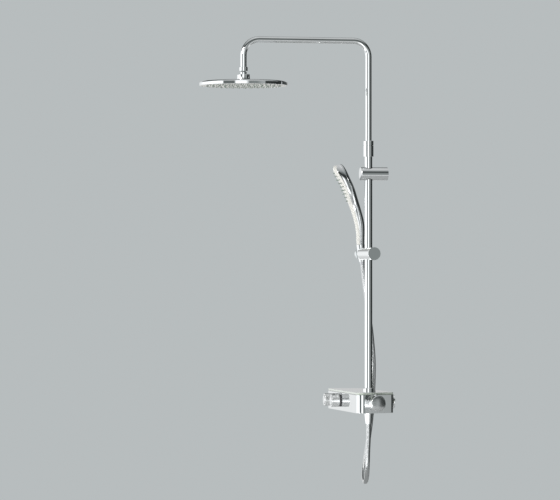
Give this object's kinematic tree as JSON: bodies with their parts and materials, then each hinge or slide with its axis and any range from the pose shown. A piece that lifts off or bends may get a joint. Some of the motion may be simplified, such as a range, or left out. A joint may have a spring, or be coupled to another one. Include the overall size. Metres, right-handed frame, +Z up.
{
  "type": "rainfall shower column",
  "caption": "Wall-mounted shower column: telescopic riser with long arm and round rain head, sliding hand shower on a hose, and a glass-topped shelf mixer.",
  "frame": {"origin": "centre of the wall bracket's back face, on the finished wall", "axes": "+Z up along the column, -Y out of the wall into the room, +X to the right as seen from the room; the wall is the plane Y = 0"},
  "size_m": [0.406, 0.5485, 1.288],
  "materials": {
    "chrome": "polished chrome plate",
    "plated_plastic": "chrome-plated plastic",
    "cream_plastic": "satin cream white",
    "nozzle_silicone": "translucent grey-green silicone",
    "nylon": "moulded",
    "steel": "brushed",
    "brass": "machined",
    "seal_rubber": "matt",
    "shelf_glass": "toughened, pale green edge",
    "hose_skin": "metallised ribbed skin"
  },
  "bodies": {
    "wall_frame": {"riser_tube": "chrome", "bracket_barrel": "chrome", "bracket_end_cap": "chrome", "bracket_tube_bush": "nylon", "bracket_wall_plate": "steel", "bracket_grub_screw": "steel", "collar_body": "chrome", "clamp_collet": "nylon", "riser_foot_nut": "chrome", "glass_shelf": "shelf_glass", "shelf_gasket": "seal_rubber", "mixer_shell": "chrome", "valve_block": "brass", "thermo_cartridge": "nylon", "flow_cartridges": "nylon", "thermo_base_ring": "chrome", "control_base_rings": "nylon", "inlet_nuts": "chrome", "eccentric_unions": "brass", "wall_flanges": "chrome", "inlet_strainers": "steel", "outlet_nut": "chrome", "lower_hose_washer": "seal_rubber", "lower_hose_ferrule": "steel", "shower_hose": "hose_skin"},
    "height_guide": {"tube_guide_bush": "nylon"},
    "arm": {"arm_tube": "chrome", "depth_stop_pin": "steel", "ball_nut": "chrome"},
    "height_lock": {"lock_nut": "chrome"},
    "swivel_seat": {"ball_seat": "nylon"},
    "rain_head": {"swivel_ball": "chrome", "head_hub": "chrome", "head_gasket": "seal_rubber", "rain_shell": "plated_plastic", "rain_face": "cream_plastic", "rain_nozzle_mat": "nozzle_silicone"},
    "slider_carriage": {"slider_bush": "nylon"},
    "slider": {"slider_body": "chrome", "clamp_shoe": "nylon"},
    "slider_lock": {"slider_knob": "chrome", "knob_screw": "steel"},
    "hand_holder": {"cone_holder": "chrome", "holder_axle": "steel"},
    "hose_cone": {"upper_hose_nut": "chrome", "upper_hose_ferrule": "steel"},
    "hand_shower": {"handset_shell": "plated_plastic", "handset_face": "cream_plastic", "handset_nozzle_mat": "nozzle_silicone", "handset_connector": "nylon"},
    "temperature_handle": {"temp_handle": "chrome"},
    "temperature_stop": {"temp_stop_button": "chrome"},
    "rain_control": {"rain_control_ring": "chrome"},
    "rain_button": {"rain_push_button": "chrome"},
    "hand_control": {"hand_control_ring": "chrome"},
    "hand_button": {"hand_push_button": "chrome"}
  },
  "joints": [
    {"name": "arm_height", "type": "slide", "parent": "wall_frame", "child": "height_guide", "axis": [0, 0, 1], "range_m": [-0.05, 0.09]},
    {"name": "arm_swing", "type": "hinge", "parent": "height_guide", "child": "arm", "pos_m": [0, -0.055, 0], "axis": [0, 0, 1], "range_deg": [-75, 75]},
    {"name": "height_lock_turn", "type": "hinge", "parent": "wall_frame", "child": "height_lock", "pos_m": [0, -0.055, 0.0885], "axis": [0, 0, 1], "range_deg": [0, 90]},
    {"name": "head_spin", "type": "hinge", "parent": "arm", "child": "swivel_seat", "pos_m": [0, -0.4225, 0.2936], "axis": [0, 0, 1], "continuous": true},
    {"name": "head_tilt", "type": "hinge", "parent": "swivel_seat", "child": "rain_head", "pos_m": [0, -0.4225, 0.2936], "axis": [1, 0, 0], "range_deg": [-10, 10]},
    {"name": "slider_height", "type": "slide", "parent": "wall_frame", "child": "slider_carriage", "axis": [0, 0, 1], "range_m": [-0.25, 0.165], "deforming": ["shower_hose"]},
    {"name": "slider_swivel", "type": "hinge", "parent": "slider_carriage", "child": "slider", "pos_m": [0, -0.055, -0.23], "axis": [0, 0, 1], "range_deg": [-20, 25], "deforming": ["shower_hose"]},
    {"name": "slider_lock_turn", "type": "hinge", "parent": "slider", "child": "slider_lock", "pos_m": [0, -0.055, -0.23], "axis": [0.9962, 0.0872, 0], "range_deg": [0, 120]},
    {"name": "holder_tilt", "type": "hinge", "parent": "slider", "child": "hand_holder", "pos_m": [0, -0.055, -0.23], "axis": [0.9962, 0.0872, 0], "range_deg": [-5, 30], "deforming": ["shower_hose"]},
    {"name": "hand_shower_lift", "type": "slide", "parent": "hand_holder", "child": "hose_cone", "axis": [0.0091, -0.1041, 0.9945], "range_m": [0, 0.06], "deforming": ["shower_hose"]},
    {"name": "hand_shower_turn", "type": "hinge", "parent": "hose_cone", "child": "hand_shower", "pos_m": [-0.06176, -0.0604, -0.23], "axis": [0.0091, -0.1041, 0.9945], "range_deg": [-90, 20]},
    {"name": "temperature_turn", "type": "hinge", "parent": "wall_frame", "child": "temperature_handle", "pos_m": [0.18096, -0.0865, -0.653], "axis": [0.9628, 0.2701, 0], "range_deg": [-150, 60]},
    {"name": "temperature_stop_press", "type": "slide", "parent": "temperature_handle", "child": "temperature_stop", "axis": [0, 0, -1], "range_m": [0, 0.0018], "stiffness_N_per_m": 400, "springref_m": -0.002},
    {"name": "rain_control_turn", "type": "hinge", "parent": "wall_frame", "child": "rain_control", "pos_m": [-0.03, -0.147, -0.653], "axis": [0, -1, 0], "range_deg": [0, 90]},
    {"name": "rain_button_press", "type": "slide", "parent": "rain_control", "child": "rain_button", "axis": [0, 1, 0], "range_m": [0, 0.003], "stiffness_N_per_m": 600, "springref_m": -0.002},
    {"name": "hand_control_turn", "type": "hinge", "parent": "wall_frame", "child": "hand_control", "pos_m": [-0.114, -0.147, -0.653], "axis": [0, -1, 0], "range_deg": [0, 90]},
    {"name": "hand_button_press", "type": "slide", "parent": "hand_control", "child": "hand_button", "axis": [0, 1, 0], "range_m": [0, 0.003], "stiffness_N_per_m": 600, "springref_m": -0.002}
  ]
}
